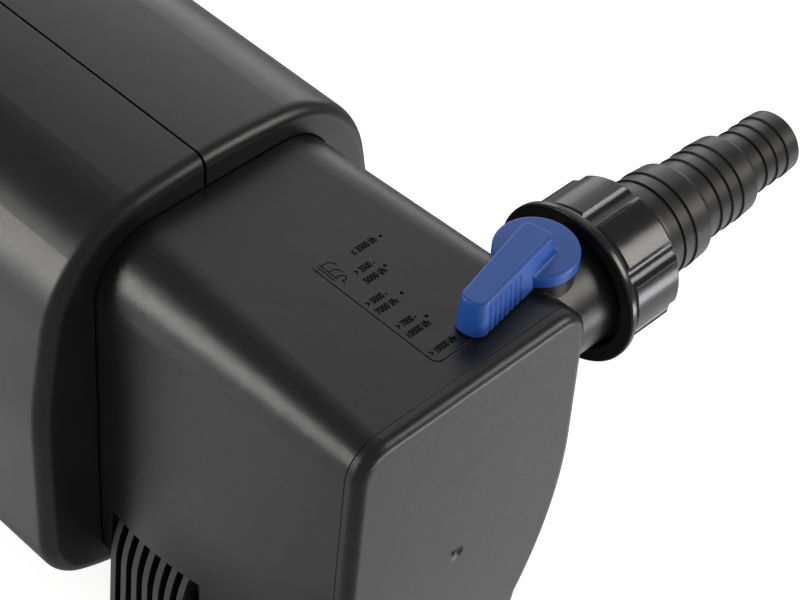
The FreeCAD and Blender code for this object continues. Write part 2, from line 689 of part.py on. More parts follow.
def make_lever_arm():
    """Tall tapering arm with gripping grooves down both sides."""
    outlines = [arm_outline(ARM_BOTTOM_Z, ARM_FOOT), arm_outline(ARM_TOP_Z, ARM_CREST)]
    arm = Part.makeLoft(outlines, True, True)
    upright = [edge for edge in arm.Edges
               if edge.BoundBox.ZLength > 5.0 and edge.BoundBox.YMax > -1.0]
    arm = arm.makeFillet(ARM_CORNER_R, upright)
    crest = [edge for edge in arm.Edges if edge.BoundBox.ZMin > ARM_TOP_Z - 0.01]
    arm = arm.makeFillet(ARM_CREST_R, crest)
    for index in range(GRIP_COUNT):
        reach = GRIP_START + index * GRIP_PITCH
        foot_w = arm_half_width(ARM_FOOT, reach)
        crest_w = arm_half_width(ARM_CREST, reach)
        lean = math.atan((foot_w - crest_w) / (ARM_TOP_Z - ARM_BOTTOM_Z))
        for side in (-1, 1):
            groove = cylinder(GRIP_R, GRIP_HEIGHT, (0, 0, 0))
            groove.rotate(Vector(0, 0, 0), ALONG_Y, -side * math.degrees(lean))
            groove.translate(Vector(side * (foot_w + GRIP_OUT), -reach, ARM_BOTTOM_Z))
            arm = arm.cut(groove)
    under_hub = cylinder(HUB_R + 0.1, HUB_BOTTOM_Z - ARM_BOTTOM_Z + 1.0,
                         (0, 0, ARM_BOTTOM_Z - 1.0))
    return arm.cut(under_hub)


def on_hub_top(edge):
    size = edge.BoundBox
    return size.ZMin > HUB_TOP_Z - 0.01 and size.ZMax < HUB_TOP_Z + 0.01


def make_lever():
    """Regulator lever: round hub, its arm, and a hollow that takes the stem's flat."""
    hub = cylinder(HUB_R, HUB_TOP_Z - HUB_BOTTOM_Z, (0, 0, HUB_BOTTOM_Z))
    lever = hub.fuse(make_lever_arm()).removeSplitter()
    foot_line = [edge for edge in lever.Edges
                 if on_hub_top(edge) and not isinstance(edge.Curve, Part.Circle)]
    lever = lever.makeFillet(ARM_FLARE_R, foot_line)
    rim = [edge for edge in lever.Edges
           if on_hub_top(edge) and isinstance(edge.Curve, Part.Circle)]
    lever = lever.makeFillet(HUB_EDGE_R, rim)
    socket = cylinder(DRIVE_R + DRIVE_PLAY, SOCKET_DEPTH + 1.0, (0, 0, HUB_BOTTOM_Z - 1.0))
    lever = lever.cut(flatted(socket, DRIVE_FLAT + DRIVE_PLAY))
    lever.rotate(Vector(0, 0, 0), ALONG_Z, ARM_ANGLE)
    lever.translate(Vector(INLET_X, PIVOT_Y, 0))
    return lever


def flatted(round_bar, flat):
    """Upright round bar on the origin's axis with a flat cut down its +X side."""
    size = round_bar.BoundBox
    return round_bar.cut(box((flat, size.YMin - 1.0, size.ZMin - 1.0),
                             (size.XMax + 1.0, size.YMax + 1.0, size.ZMax + 1.0)))


def make_valve_stem():
    """Stem: flatted drive end in the lever, O-ring groove, slim shaft through the flap."""
    barrel_top = HUB_BOTTOM_Z - 0.2
    drive = flatted(cylinder(DRIVE_R, STEM_TOP_Z - barrel_top, (0, 0, barrel_top)), DRIVE_FLAT)
    drive.rotate(Vector(0, 0, 0), ALONG_Z, ARM_ANGLE)
    barrel = cylinder(STEM_R, barrel_top - STEM_SHOULDER_Z, (0, 0, STEM_SHOULDER_Z))
    groove = ring(STEM_R + 1, SEAL_GROOVE_R, SEAL_GROOVE_H, (0, 0, SEAL_GROOVE_Z))
    shaft = cylinder(SHAFT_R, STEM_SHOULDER_Z - SHAFT_FOOT_Z, (0, 0, SHAFT_FOOT_Z))
    stem = drive.fuse(barrel.cut(groove)).fuse(shaft)
    stem.translate(Vector(INLET_X, PIVOT_Y, 0))
    return stem


def make_bypass_flap():
    """Round flap in the port bore, edge-on to the flow at the open end of the scale."""
    disc = cylinder(FLAP_R, FLAP_T, (-FLAP_T / 2, 0, PORT_Z), ALONG_X)
    hub = cylinder(FLAP_HUB_R, FLAP_HUB_H, (0, 0, PORT_Z - FLAP_HUB_H / 2))
    flap = disc.fuse(hub).cut(cylinder(SHAFT_R, 2 * FLAP_R, (0, 0, PORT_Z - FLAP_R)))
    flap.translate(Vector(INLET_X, PIVOT_Y, 0))
    return flap


def outlet_hole():
    return cylinder(THREAD_R + 0.8, 60.0, (OUTLET_X, 45.0, PORT_Z), ALONG_Y)


def make_hood_halves():
    """The hood's two shells, parted along X just off the centre plane."""
    outer = hood_block(0.0, HOOD_BACK_X, HOOD_FACE_X)
    face_rim = [edge for edge in outer.Edges
                if edge.BoundBox.XMin > HOOD_FACE_X - 0.01]
    back_rim = [edge for edge in outer.Edges
                if edge.BoundBox.XMax < HOOD_BACK_X + 0.01]
    outer = outer.makeFillet(HOOD_FACE_EDGE_R, face_rim).makeFillet(HOOD_BACK_EDGE_R, back_rim)
    inner = hood_block(HOOD_WALL, HOOD_BACK_X + HOOD_WALL, HOOD_FACE_X - HOOD_WALL)
    shell = outer.cut(inner)
    opening = body_prism(STATION_HOOD, -OPENING_GAP, HOOD_FACE_X - 20.0, HOOD_FACE_X + 1.0)
    shell = shell.cut(opening).cut(outlet_hole())
    gland_hole = cylinder(GLAND_R + 0.2, 20.0, (HOOD_BACK_X - 5.0, GLAND_Y, GLAND_Z), ALONG_X)
    shell = shell.cut(gland_hole)
    for screw_x, screw_y in foot_screw_places()[1]:
        shell = shell.cut(cylinder(FOOT_SCREW_R + FOOT_SCREW_PLAY, 20.0, (screw_x, screw_y, 0.0)))
    far_side = box((-400, SEAM_Y + SEAM_GAP / 2, -20), (0, 100, 220))
    near_side = box((-400, -100, -20), (0, SEAM_Y - SEAM_GAP / 2, 220))
    return shell.common(near_side), shell.common(far_side)


def make_seam_strip():
    """Thin strip behind the seam that keeps splashes out of the hood."""
    skin = hood_block(HOOD_WALL + 0.2, HOOD_BACK_X + 4.0, HOOD_FACE_X - HOOD_WALL - 0.2)
    core = hood_block(HOOD_WALL + 1.7, HOOD_BACK_X + 5.5, HOOD_FACE_X - HOOD_WALL - 1.7)
    strip = skin.cut(core)
    band = box((-400, SEAM_Y - 6.0, BODY_TOP_Z + 1.0), (0, SEAM_Y + 6.0, 220))
    return strip.common(band)


def foot_screw_places():
    """Places of the front foot's four screws, and of the rear foot's four."""
    feet = ((0.0, FRONT_SCREWS), (REAR_FOOT_X, REAR_SCREWS))
    return [[(middle_x + side_x * off_x, side_y * off_y) for side_x in (-1, 1)
             for side_y in (-1, 1)] for middle_x, (off_x, off_y) in feet]


def foot_screw_cuts(places, head_z):
    cuts = []
    for screw_x, screw_y in places:
        hole = cylinder(FOOT_SCREW_R + FOOT_SCREW_PLAY, 30.0, (screw_x, screw_y, -1.0))
        cuts.append(hole)
        cuts.append(cylinder(SCREW_SOCKET_R, head_z + 1.0, (screw_x, screw_y, -1.0)))
    return cuts


def rib_outline(side):
    """Side view of one rib: flush with the wall at its top, flaring out to the floor."""
    vectors = [Vector(0, side * y, z) for y, z in RIB_PROFILE]
    edges = [Part.makeLine(vectors[0], vectors[1]),
             Part.Arc(vectors[1], vectors[2], vectors[3]).toShape(),
             Part.makeLine(vectors[3], vectors[4])]
    for index in range(4, len(vectors)):
        edges.append(Part.makeLine(vectors[index], vectors[(index + 1) % len(vectors)]))
    return Part.Face(Part.Wire(edges))


def make_front_foot():
    """Foot under the vessel, with seven ribs standing up each side of it."""
    base = box((FOOT_BACK_X, -FRONT_FOOT_W, 0.0), (FOOT_FRONT_X, FRONT_FOOT_W, FRONT_FOOT_TOP_Z))
    foot = base.cut(body_front(-0.3))
    for side in (-1, 1):
        for index in range(RIB_COUNT):
            middle_x = (index - (RIB_COUNT - 1) / 2) * RIB_PITCH
            rib = rib_outline(side).extrude(Vector(RIB_T, 0, 0))
            rib.translate(Vector(middle_x - RIB_T / 2, 0, 0))
            foot = foot.fuse(rib)
        near, far = sorted((side * RIB_WEB[0], side * RIB_WEB[1]))
        foot = foot.fuse(box((FOOT_BACK_X + RIB_T / 2, near, 0.0),
                             (FOOT_FRONT_X - RIB_T / 2, far, RIB_WEB[2])))
    for cut in foot_screw_cuts(foot_screw_places()[0], FRONT_HEAD_Z):
        foot = foot.cut(cut)
    return foot


def make_rear_foot():
    """Flat foot under the hood, bearing on the hood's crowned underside."""
    half = REAR_FOOT_LENGTH / 2
    block = box((REAR_FOOT_X - half, -REAR_FOOT_W, 0.0),
                (REAR_FOOT_X + half, REAR_FOOT_W, REAR_FOOT_TOP_Z))
    upright = [edge for edge in block.Edges if edge.BoundBox.ZLength > 5.0]
    block = block.makeFillet(REAR_FOOT_CORNER_R, upright)
    foot = block.cut(hood_block(-0.05, REAR_FOOT_X - 60.0, REAR_FOOT_X + 60.0))
    for cut in foot_screw_cuts(foot_screw_places()[1], REAR_HEAD_Z):
        foot = foot.cut(cut)
    return foot


def make_screw(length, radius, head_r, head_t, socket_r):
    """Cheese-head screw along +Z, head below z = 0."""
    head = cylinder(head_r, head_t, (0, 0, -head_t))
    head = head.cut(cylinder(socket_r, head_t * 0.6, (0, 0, -head_t)))
    return head.fuse(cylinder(radius, length, (0, 0, 0)))


def make_foot_screws(places, head_top, length):
    """Four screws with broad heads that sit in the foot's sockets."""
    screws = []
    for screw_x, screw_y in places:
        screw = make_screw(length, FOOT_SCREW_R, 4.4, 2.4, 2.0)
        screw.translate(Vector(screw_x, screw_y, head_top))
        screws.append(screw)
    return Part.makeCompound(screws)


def make_head_screws():
    screws = []
    for side in (-1, 1):
        for lug_z in LUG_ZS:
            screw = make_screw(HEAD_T + GASKET_T + HEAD_SCREW_DEPTH, HEAD_SCREW_R, 3.8, 3.6, 1.6)
            screw.rotate(Vector(0, 0, 0), ALONG_Y, 90)
            screw.translate(Vector(HEAD_BACK_X, side * LUG_Y, lug_z))
            screws.append(screw)
    return Part.makeCompound(screws)


def make_head_gasket():
    start = VESSEL_BACK_X - GASKET_T
    outer = body_prism(STATION_HOOD, GASKET_INSET, start, VESSEL_BACK_X)
    inner = body_prism(STATION_HOOD, WALL - GASKET_INSET, start, VESSEL_BACK_X)
    return outer.cut(inner)


def make_lamp_head():
    """Closure plate of the vessel: carries the lamp sleeve and its threaded neck."""
    head = body_prism(STATION_HOOD, 0.0, HEAD_BACK_X, HEAD_BACK_X + HEAD_T)
    lug_places = [(side * LUG_Y, lug_z) for side in (-1, 1) for lug_z in LUG_ZS]
    for lug_y, lug_z in lug_places:
        head = head.fuse(cylinder(LUG_R, HEAD_T, (HEAD_BACK_X, lug_y, lug_z), ALONG_X))
    neck_x = HEAD_BACK_X - NECK_LENGTH
    head = head.fuse(cylinder(NECK_R, NECK_LENGTH, (neck_x, 0, AXIS_Z), ALONG_X))
    head = head.cut(cylinder(SLEEVE_R + SLEEVE_PLAY, 60.0, (neck_x - 12.0, 0, AXIS_Z), ALONG_X))
    head = head.cut(cylinder(NECK_SEAT_R, NECK_SEAT_DEPTH, (neck_x, 0, AXIS_Z), ALONG_X))
    for lug_y, lug_z in lug_places:
        head = head.cut(cylinder(HEAD_SCREW_R + HEAD_SCREW_PLAY, 40.0,
                                 (HEAD_BACK_X - 10.0, lug_y, lug_z), ALONG_X))
    return head


def make_quartz_sleeve():
    length = SLEEVE_END_X - SLEEVE_BACK_X
    outer = cylinder(SLEEVE_R, length, (SLEEVE_BACK_X, 0, AXIS_Z), ALONG_X)
    outer = outer.fuse(Part.makeSphere(SLEEVE_R, Vector(SLEEVE_END_X, 0, AXIS_Z)))
    inner_r = SLEEVE_R - SLEEVE_WALL
    inner = cylinder(inner_r, length, (SLEEVE_BACK_X, 0, AXIS_Z), ALONG_X)
    inner = inner.fuse(Part.makeSphere(inner_r, Vector(SLEEVE_END_X, 0, AXIS_Z)))
    return outer.cut(inner)


def make_sleeve_nut():
    """Clamping nut that squeezes the sleeve's O-ring into the lamp head's neck."""
    web_x = HEAD_BACK_X - NECK_LENGTH - SLEEVE_NUT_WEB - 0.5
    skirt = ring(SLEEVE_NUT_R, SLEEVE_NUT_BORE_R, SLEEVE_NUT_SKIRT, (web_x + 0.5, 0, AXIS_Z),
                 ALONG_X)
    web = ring(SLEEVE_NUT_R, SLEEVE_R + SLEEVE_PLAY, SLEEVE_NUT_WEB, (web_x, 0, AXIS_Z), ALONG_X)
    nut = skirt.fuse(web)
    for index in range(SLEEVE_NUT_GRIPS):
        angle = math.radians(index * 360.0 / SLEEVE_NUT_GRIPS)
        place = (web_x - 1.5, SLEEVE_NUT_GRIP_AT * math.cos(angle),
                 AXIS_Z + SLEEVE_NUT_GRIP_AT * math.sin(angle))
        nut = nut.cut(cylinder(SLEEVE_NUT_GRIP_R, 20.0, place, ALONG_X))
    return nut


def make_sleeve_o_ring():
    return Part.makeTorus(SLEEVE_RING[0], SLEEVE_RING[1], Vector(SLEEVE_RING[2], 0, AXIS_Z),
                          ALONG_X)


def make_uvc_lamp():
    """Twin-tube lamp: two parallel tubes bridged at the far end."""
    start = SLEEVE_BACK_X - LAMP_BASE_GAP
    bridge_foot = (LAMP_END_X - LAMP_BRIDGE_BACK, 0, AXIS_Z - LAMP_TUBE_OFFSET)
    lamp = cylinder(LAMP_BRIDGE_R, 2 * LAMP_TUBE_OFFSET, bridge_foot, ALONG_Z)
    for side in (-1, 1):
        tube_z = AXIS_Z + side * LAMP_TUBE_OFFSET
        lamp = lamp.fuse(cylinder(LAMP_TUBE_R, LAMP_END_X - start, (start, 0, tube_z), ALONG_X))
    return lamp


def make_lamp_base():
    base = cylinder(LAMP_BASE_R, LAMP_BASE_LENGTH, (LAMP_BASE_X, 0, AXIS_Z), ALONG_X)
    for pin_z in PIN_ZS:
        pin_foot = (LAMP_BASE_X - PIN_LENGTH, 0, AXIS_Z + pin_z)
        base = base.fuse(cylinder(PIN_R, PIN_LENGTH, pin_foot, ALONG_X))
    return base


def make_lamp_socket():
    """Block that takes the lamp's four pins, with two fixing holes across it."""
    front_x = LAMP_BASE_X - 0.2
    socket = box((front_x - SOCKET_LENGTH, -SOCKET_W, AXIS_Z - SOCKET_H),
                 (front_x, SOCKET_W, AXIS_Z + SOCKET_H))
    for pin_z in PIN_ZS:
        hole_foot = (LAMP_BASE_X - PIN_HOLE_DEPTH, 0, AXIS_Z + pin_z)
        socket = socket.cut(cylinder(PIN_HOLE_R, PIN_HOLE_DEPTH, hole_foot, ALONG_X))
    for side in (-1, 1):
        hole_foot = (LAMP_BASE_X - SOCKET_LENGTH / 2, -SOCKET_W - 5.0,
                     AXIS_Z + side * SOCKET_SCREW_Z)
        socket = socket.cut(cylinder(SOCKET_SCREW_R, 2 * SOCKET_W + 10.0, hole_foot, ALONG_Y))
    return socket


def make_ballast_bracket():
    """Angle plate on the lamp head that carries the ballast."""
    wall = box((HEAD_BACK_X - BRACKET_T, -BRACKET_W, BRACKET_BOTTOM_Z),
               (HEAD_BACK_X, BRACKET_W, BRACKET_TOP_Z))
    shelf = box((HEAD_BACK_X - BRACKET_LENGTH, -BRACKET_W, BRACKET_BOTTOM_Z),
                (HEAD_BACK_X, BRACKET_W, BRACKET_BOTTOM_Z + BRACKET_T))
    return wall.fuse(shelf)


def make_ballast():
    """Electronic ballast: rounded case with cooling slots across its top."""
    back_x, front_x = BALLAST_XS
    bottom_z, top_z = BALLAST_ZS
    slot_w, slot_half, slot_depth = BALLAST_SLOT
    case = box((back_x, -BALLAST_W, bottom_z), (front_x, BALLAST_W, top_z))
    upright = [edge for edge in case.Edges if edge.BoundBox.ZLength > 5.0]
    case = case.makeFillet(BALLAST_CORNER_R, upright)
    for index in range(BALLAST_SLOTS):
        slot_x = back_x + 6.0 + index * BALLAST_SLOT_PITCH
        case = case.cut(box((slot_x, -slot_half, top_z - slot_depth),
                            (slot_x + slot_w, slot_half, top_z + 2.0)))
    return case


def make_socket_post():
    """Block on the ballast case that holds the lamp socket up."""
    return box((POST_X, -POST_W, BALLAST_ZS[1] + 0.2),
               (POST_X + POST_LENGTH, POST_W, AXIS_Z - SOCKET_H - 0.2))


def make_cable_gland():
    """Gland body through the hood's end wall, with a hexagon and a thread."""
    body = cylinder(GLAND_R, GLAND_LENGTH, (HOOD_BACK_X - 4.0, GLAND_Y, GLAND_Z), ALONG_X)
    hexagon = hex_prism(GLAND_HEX, GLAND_HEX_T)
    hexagon.translate(Vector(HOOD_BACK_X - GLAND_HEX_T - 0.2, GLAND_Y, GLAND_Z))
    neck_foot = (HOOD_BACK_X - GLAND_HEX_T - GLAND_NECK_LENGTH, GLAND_Y, GLAND_Z)
    neck = cylinder(GLAND_NECK_R, GLAND_NECK_LENGTH, neck_foot, ALONG_X)
    gland = body.fuse(hexagon).fuse(neck)
    snug_bore = cylinder(CABLE_BORE_R, 60.0, (HOOD_BACK_X - 30.0, GLAND_Y, GLAND_Z), ALONG_X)
    wide_bore = cylinder(GLAND_WIDE_BORE_R, 60.0, (GLAND_STEP_X, GLAND_Y, GLAND_Z), ALONG_X)
    return gland.cut(snug_bore).cut(wide_bore)


def hex_prism(across_flats_half, length):
    """Hexagonal prism along +X from x = 0."""
    corner = across_flats_half / math.cos(math.radians(30.0))
    points = []
    for index in range(7):
        angle = math.radians(60.0 * index)
        points.append(Vector(0, corner * math.cos(angle), corner * math.sin(angle)))
    return Part.Face(Part.makePolygon(points)).extrude(Vector(length, 0, 0))


def make_gland_nut():
    """Domed compression nut on the outside of the cable gland."""
    mouth_r, mouth_length = CAP_NUT_MOUTH
    grip_at, grip_r = CAP_NUT_GRIP
    dome_x = HOOD_BACK_X - GLAND_HEX_T - GLAND_NECK_LENGTH - 0.2
    dome = ring(CAP_NUT_R, CAP_NUT_BORE_R, CAP_NUT_LENGTH, (dome_x, GLAND_Y, GLAND_Z), ALONG_X)
    cone = Part.makeCone(mouth_r, CAP_NUT_R, mouth_length,
                         Vector(dome_x - mouth_length, GLAND_Y, GLAND_Z), ALONG_X)
    nut = dome.fuse(cone)
    nut = nut.cut(cylinder(CAP_NUT_EYE_R, 60.0, (dome_x - 16.0, GLAND_Y, GLAND_Z), ALONG_X))
    for index in range(CAP_NUT_GRIPS):
        angle = math.radians(index * 360.0 / CAP_NUT_GRIPS)
        place = (dome_x - mouth_length - 0.8, GLAND_Y + grip_at * math.cos(angle),
                 GLAND_Z + grip_at * math.sin(angle))
        nut = nut.cut(cylinder(grip_r, 16.0, place, ALONG_X))
    return nut


def make_gland_locknut():
    """Flat hexagonal locknut on the gland's thread, inside the hood."""
    nut = hex_prism(GLAND_HEX, LOCKNUT_T)
    nut.translate(Vector(HOOD_BACK_X + HOOD_WALL + 0.2, GLAND_Y, GLAND_Z))
    return nut.cut(cylinder(GLAND_R + 0.1, 40.0, (HOOD_BACK_X - 10.0, GLAND_Y, GLAND_Z), ALONG_X))


def make_baffle():
    """Plate that parts the filter chamber from the outlet chamber."""
    plate = body_prism(STATION_HOOD, WALL + 0.3, BAFFLE_X - BAFFLE_T, BAFFLE_X)
    plate = plate.cut(cylinder(CORE_R + 0.3, 20.0, (BAFFLE_X - 10.0, 0, AXIS_Z), ALONG_X))
    return plate.cut(cylinder(BYPASS_R + 0.2, 20.0, (BAFFLE_X - 10.0, 0, BYPASS_Z), ALONG_X))


def make_core():
    """Perforated tube that holds the foam open and lets clean water into the middle."""
    start = BAFFLE_X - CORE_BACK
    end = CARTRIDGE_END_X - CARTRIDGE_PLATE - 0.2
    tube = ring(CORE_R, CORE_R - CORE_WALL, end - start, (start, 0, AXIS_Z), ALONG_X)
    pitch = (end - BAFFLE_X - CORE_SLOT_MARGIN) / CORE_SLOTS
    for row in range(CORE_SLOT_ROWS):
        for index in range(CORE_SLOTS):
            slot_x = BAFFLE_X + CORE_SLOT_START + index * pitch
            slot = box((slot_x, CORE_R - 6.0, -CORE_SLOT_W / 2),
                       (slot_x + CORE_SLOT_LENGTH, CORE_R + 3.0, CORE_SLOT_W / 2))
            slot.rotate(Vector(0, 0, 0), ALONG_X, row * 360.0 / CORE_SLOT_ROWS)
            slot.translate(Vector(0, 0, AXIS_Z))
            tube = tube.cut(slot)
    return tube


def make_foam():
    """Foam sleeve with shallow rings moulded round it."""
    start = BAFFLE_X + CARTRIDGE_PLATE + 0.3
    end = CARTRIDGE_END_X - CARTRIDGE_PLATE - 0.3
    sleeve = ring(FOAM_R, CORE_R + 0.2, end - start, (start, 0, AXIS_Z), ALONG_X)
    pitch = (end - start) / FOAM_GROOVES
    for index in range(FOAM_GROOVES):
        groove_x = start + (index + 0.5) * pitch - FOAM_GROOVE_W / 2
        groove = ring(FOAM_R + 1.0, FOAM_R - FOAM_GROOVE_DEPTH, FOAM_GROOVE_W,
                      (groove_x, 0, AXIS_Z), ALONG_X)
        sleeve = sleeve.cut(groove)
    return sleeve


def make_cartridge_collar():
    return ring(FOAM_R + 1.0, CORE_R + 0.1, CARTRIDGE_PLATE, (BAFFLE_X + 0.2, 0, AXIS_Z), ALONG_X)


def make_cartridge_cap():
    """Closed end of the cartridge, with a bar to pull it out by."""
    bar_w, bar_reach, bar_h = PULL_BAR
    window_w, window_reach = PULL_WINDOW
    disc = cylinder(FOAM_R + 1.0, CARTRIDGE_PLATE, (CARTRIDGE_END_X - CARTRIDGE_PLATE, 0, AXIS_Z),
                    ALONG_X)
    bar = box((CARTRIDGE_END_X, -bar_w, AXIS_Z - bar_h),
              (CARTRIDGE_END_X + bar_reach, bar_w, AXIS_Z + bar_h))
    window = box((CARTRIDGE_END_X, -window_w, AXIS_Z - bar_h - 1.0),
                 (CARTRIDGE_END_X + window_reach, window_w, AXIS_Z + bar_h + 1.0))
    return disc.fuse(bar.cut(window))


def make_bypass_tube():
    """Tube that takes water past the filter chamber when the regulator asks for it."""
    start = BAFFLE_X - CORE_BACK
    bore_r = BYPASS_R - BYPASS_WALL
    mouth = Vector(BYPASS_BELL_X, 0, BYPASS_Z)
    tube = ring(BYPASS_R, bore_r, BYPASS_BELL_X - start, (start, 0, BYPASS_Z), ALONG_X)
    bell = Part.makeCone(BYPASS_R, BYPASS_R + BYPASS_BELL_FLARE, BYPASS_BELL_LENGTH, mouth, ALONG_X)
    hollow = Part.makeCone(bore_r, bore_r + BYPASS_BELL_FLARE, BYPASS_BELL_LENGTH, mouth, ALONG_X)
    return tube.fuse(bell.cut(hollow))


def single(shape):
    """The shape cleaned of seams left by the Boolean steps."""
    return shape.removeSplitter()


def build_all():
    near_half, far_half = make_hood_halves()
    front_screws, rear_screws = foot_screw_places()
    ring_r, ring_section, ring_z = STEM_RING
    return {
        "vessel": single(make_vessel()),
        "end_cap": single(make_end_cap()),
        "end_cap_seal": make_end_cap_seal(),
        "hood_near_half": single(near_half),
        "hood_far_half": single(far_half),
        "hood_seam_strip": make_seam_strip(),
        "front_foot": single(make_front_foot()),
        "rear_foot": single(make_rear_foot()),
        "front_foot_screws": make_foot_screws(front_screws, FRONT_HEAD_Z - 0.1,
                                              FRONT_SCREW_LENGTH),
        "rear_foot_screws": make_foot_screws(rear_screws, REAR_HEAD_Z - 0.1, REAR_SCREW_LENGTH),
        "flow_lever": single(make_lever()),
        "valve_stem": single(make_valve_stem()),
        "stem_o_ring": Part.makeTorus(ring_r, ring_section, Vector(INLET_X, PIVOT_Y, ring_z), ALONG_Z),
        "bypass_flap": make_bypass_flap(),
        "inlet_union_nut": make_union_nut(INLET_X, INLET_NUT_Y),
        "inlet_hose_tail": make_hose_tail(INLET_X, INLET_NUT_Y),
        "inlet_washer": make_washer(INLET_X, INLET_NUT_Y),
        "outlet_union_nut": make_union_nut(OUTLET_X, OUTLET_NUT_Y),
        "outlet_hose_tail": make_hose_tail(OUTLET_X, OUTLET_NUT_Y),
        "outlet_washer": make_washer(OUTLET_X, OUTLET_NUT_Y),
        "lamp_head": single(make_lamp_head()),
        "head_gasket": make_head_gasket(),
        "head_screws": make_head_screws(),
        "quartz_sleeve": make_quartz_sleeve(),
        "sleeve_nut": single(make_sleeve_nut()),
        "sleeve_o_ring": make_sleeve_o_ring(),
        "uvc_lamp": single(make_uvc_lamp()),
        "lamp_base": single(make_lamp_base()),
        "lamp_socket": make_lamp_socket(),
        "ballast": make_ballast(),
        "ballast_bracket": single(make_ballast_bracket()),
        "socket_post": make_socket_post(),
        "cable_gland": single(make_cable_gland()),
        "gland_nut": single(make_gland_nut()),
        "gland_locknut": make_gland_locknut(),
        "baffle_plate": make_baffle(),
        "cartridge_core": make_core(),
        "cartridge_foam": make_foam(),
        "cartridge_collar": make_cartridge_collar(),
        "cartridge_cap": single(make_cartridge_cap()),
        "bypass_tube": single(make_bypass_tube()),
    }


os.makedirs("parts", exist_ok=True)
for name, shape in build_all().items():
    shape.exportStep("parts/" + name + ".step")
    solids = len(shape.Solids)
    size = shape.BoundBox
    print(f"{name:20s} solids {solids} valid {shape.isValid()} volume {shape.Volume:10.1f} "
          f"x {size.XMin:.1f}..{size.XMax:.1f} y {size.YMin:.1f}..{size.YMax:.1f} "
          f"z {size.ZMin:.1f}..{size.ZMax:.1f}")
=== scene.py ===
"""Finishes, flow scale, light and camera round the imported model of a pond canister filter."""

import math

import bpy
from mathutils import Matrix, Vector


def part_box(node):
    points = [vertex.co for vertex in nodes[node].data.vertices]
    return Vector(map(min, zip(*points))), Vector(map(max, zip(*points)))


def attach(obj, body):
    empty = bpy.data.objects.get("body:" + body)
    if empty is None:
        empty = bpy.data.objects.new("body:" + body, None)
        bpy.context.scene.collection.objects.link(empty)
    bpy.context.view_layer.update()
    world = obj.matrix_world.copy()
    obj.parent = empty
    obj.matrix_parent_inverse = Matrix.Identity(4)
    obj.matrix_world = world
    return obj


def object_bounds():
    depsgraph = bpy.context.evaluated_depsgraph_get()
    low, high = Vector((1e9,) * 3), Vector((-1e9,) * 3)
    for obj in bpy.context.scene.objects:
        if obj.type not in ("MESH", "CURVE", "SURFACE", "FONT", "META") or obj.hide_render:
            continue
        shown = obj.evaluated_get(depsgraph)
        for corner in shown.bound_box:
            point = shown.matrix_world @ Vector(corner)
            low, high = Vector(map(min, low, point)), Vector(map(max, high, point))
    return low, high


MM = 0.001

# Flow scale on the deck, in millimetres: where a row's middle stands along X,
# where it starts along Y, how long it is, and what it says
SCALE_ROWS = (
    (25.4, 9.7, 10.8, "≤ 3500 l/h"),
    (32.9, 4.2, 8.4, "> 3500 -"),
    (37.8, 3.8, 9.1, "5000 l/h"),
    (45.7, -3.1, 8.7, "> 5000 -"),
    (50.2, -3.2, 8.9, "7000 l/h"),
    (59.3, -2.9, 8.2, "> 7000 -"),
    (64.1, -2.9, 9.5, "10000 l/h"),
    (74.5, -3.2, 10.7, "> 10000 l/h"),
)
LETTER_HEIGHT = 2.7
LETTER_PROUD = 0.09
LETTER_WEIGHT = 0.035
# The font's own units: height of a digit, half thickness of the raised text, and how
# far the text is lifted so that its underside stays in the deck
DIGIT_HEIGHT = 0.73
TEXT_HALF_DEPTH = 0.5
TEXT_LIFT = 0.4
STROKE_R = 0.17
STROKE_ORDER = 3

# Pictogram on the deck: a double line with strokes that curl off it
ICON_STROKES = (
    ((22.6, -3.2), (27.0, -3.2), (31.2, -3.2)),
    ((22.6, -2.0), (27.0, -2.0), (31.2, -2.0)),
    ((23.4, -2.0), (23.2, 0.2), (24.2, 1.8), (26.2, 2.5)),
    ((27.0, -2.0), (26.8, -0.4), (27.8, 1.2), (29.8, 1.6)),
    ((30.2, -2.0), (30.4, 0.6), (32.6, 1.0), (33.2, -0.6), (32.0, -1.6), (34.0, -1.4)),
)
# Painted shade: a dark line laid in the bottom of the scale's engraved edge
EDGE_STROKE = ((22.5, -4.85), (50.0, -4.85), (76.1, -4.85), (79.1, -4.85), (79.1, -1.85),
               (79.1, 4.0), (79.1, 10.8))
EDGE_STROKE_R = 0.24
EDGE_STROKE_HEIGHT = -0.22

# Dots of the lever's settings, in millimetres and degrees from -Y towards +X. Each dot is painted
# shade: a dark disc in the bottom of the setting's dimple
PIVOT = (67.4, 52.8)
DOT_REACH = (45.8, 45.4, 47.3, 49.5, 51.4)
DOT_FIRST_ANGLE = 8.9
DOT_STEP_ANGLE = 15.7
DOT_R = 0.66
DOT_SIDES = 20
DOT_HEIGHT = -0.30
DOT_CROWN = -0.12

# Camera, in metres in the row frame
CAMERA_PLACE = (0.41104, -0.39733, 0.71508)
CAMERA_RIGHT = (0.70274, 0.70876, 0.06180)
CAMERA_UP = (-0.53346, 0.46747, 0.70490)
CAMERA_BACK = (0.47072, -0.52832, 0.70661)
CAMERA_LENS_MM = 107.2
CAMERA_CLIP = 0.05
SENSOR_MM = 36.0

FLOOR_HALF = 4.0
FLOOR_SHADE = 0.88
FLOOR_GLOW = 0.75
WORLD_STRENGTH = 0.30

